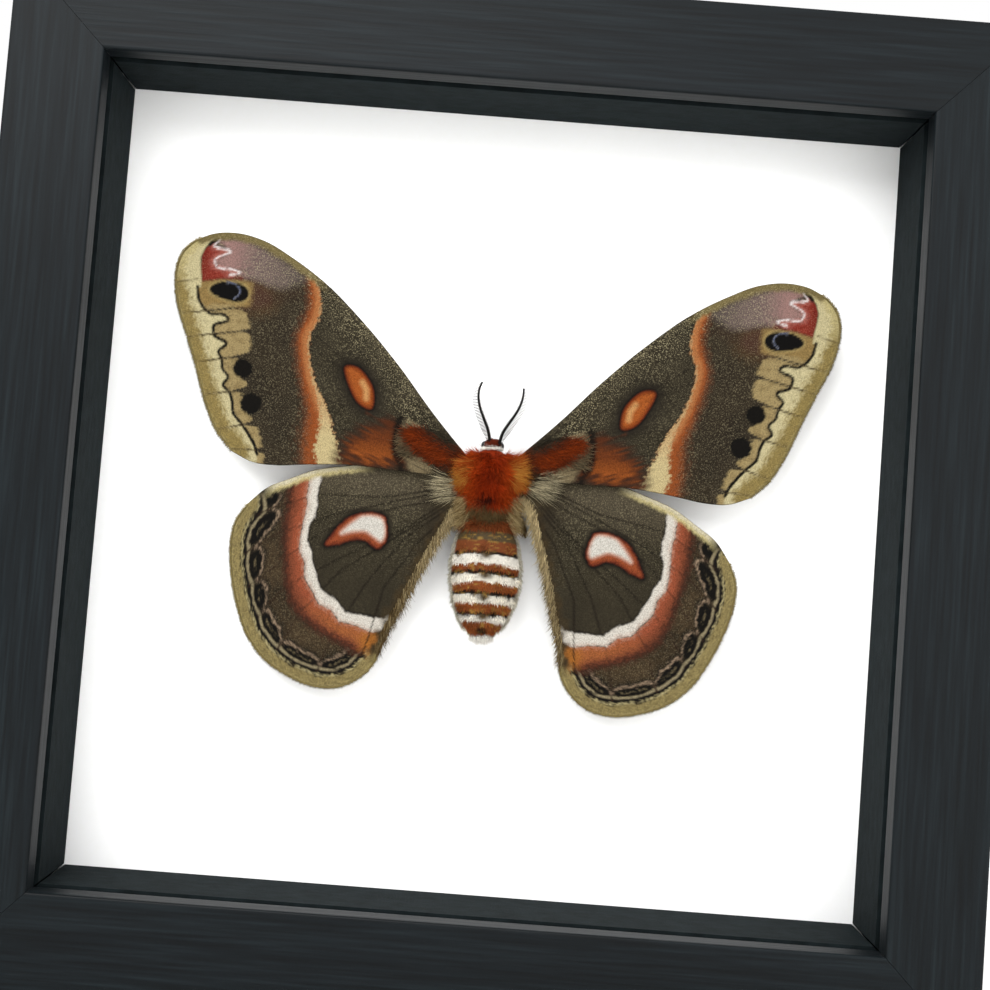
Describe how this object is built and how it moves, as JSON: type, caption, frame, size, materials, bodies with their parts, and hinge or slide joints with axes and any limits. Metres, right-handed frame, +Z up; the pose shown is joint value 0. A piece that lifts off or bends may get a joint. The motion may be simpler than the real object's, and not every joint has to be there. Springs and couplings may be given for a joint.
{
  "type": "framed cecropia moth specimen",
  "caption": "A cecropia moth with its wings spread, mounted on a white board in a square black wooden shadow-box frame with a deep mitred moulding",
  "frame": {"origin": "the centre of the frame's foot: middle of the bottom rail's lower face, at half the frame's depth", "axes": "+Z up the frame and towards the moth's head, +X to the viewer's right, -Y towards the viewer, out of the open front"},
  "size_m": [0.2032, 0.032, 0.2032],
  "materials": {
    "black_wood": "black stained wood with a fine long grain and a satin sheen",
    "spacer_board": "dark brown-grey matt spacer strip",
    "white_board": "matt white mount board",
    "brown_panel": "brown hardboard",
    "bright_steel": "bright zinc-plated steel",
    "white_foam": "closed-cell white foam",
    "thorax_fur": "long orange-red fur, darker down the middle",
    "abdomen_fur": "short fur in orange, black and white bands",
    "collar_fur": "cream-white fur",
    "head_fur": "short red-brown fur",
    "black_eye": "glossy black compound eye",
    "black_antenna": "black-brown feathered antenna",
    "brown_leg": "furry brown leg",
    "forewing_scales": "grey-brown scales with an orange line, a red spot, a tan margin and a black eyespot",
    "hindwing_scales": "dark scales with a white crescent rimmed in red, a white and red band and a tan margin"
  },
  "bodies": {
    "root": {"rail_top": "black_wood", "rail_bottom": "black_wood", "stile_left": "black_wood", "stile_right": "black_wood", "spacer_top": "spacer_board", "spacer_bottom": "spacer_board", "spacer_left": "spacer_board", "spacer_right": "spacer_board", "mount_board": "white_board", "back_panel": "brown_panel", "point_top": "bright_steel", "point_bottom": "bright_steel", "point_left": "bright_steel", "point_right": "bright_steel", "hanger": "bright_steel", "mount_block": "white_foam", "thorax": "thorax_fur", "abdomen": "abdomen_fur", "collar": "collar_fur", "head": "head_fur", "eye_left": "black_eye", "eye_right": "black_eye", "antenna_left": "black_antenna", "antenna_right": "black_antenna", "leg_fore_left": "brown_leg", "leg_middle_left": "brown_leg", "leg_hind_left": "brown_leg", "leg_fore_right": "brown_leg", "leg_middle_right": "brown_leg", "leg_hind_right": "brown_leg", "forewing_left": "forewing_scales", "forewing_right": "forewing_scales", "hindwing_left": "hindwing_scales", "hindwing_right": "hindwing_scales"}
  },
  "joints": []
}
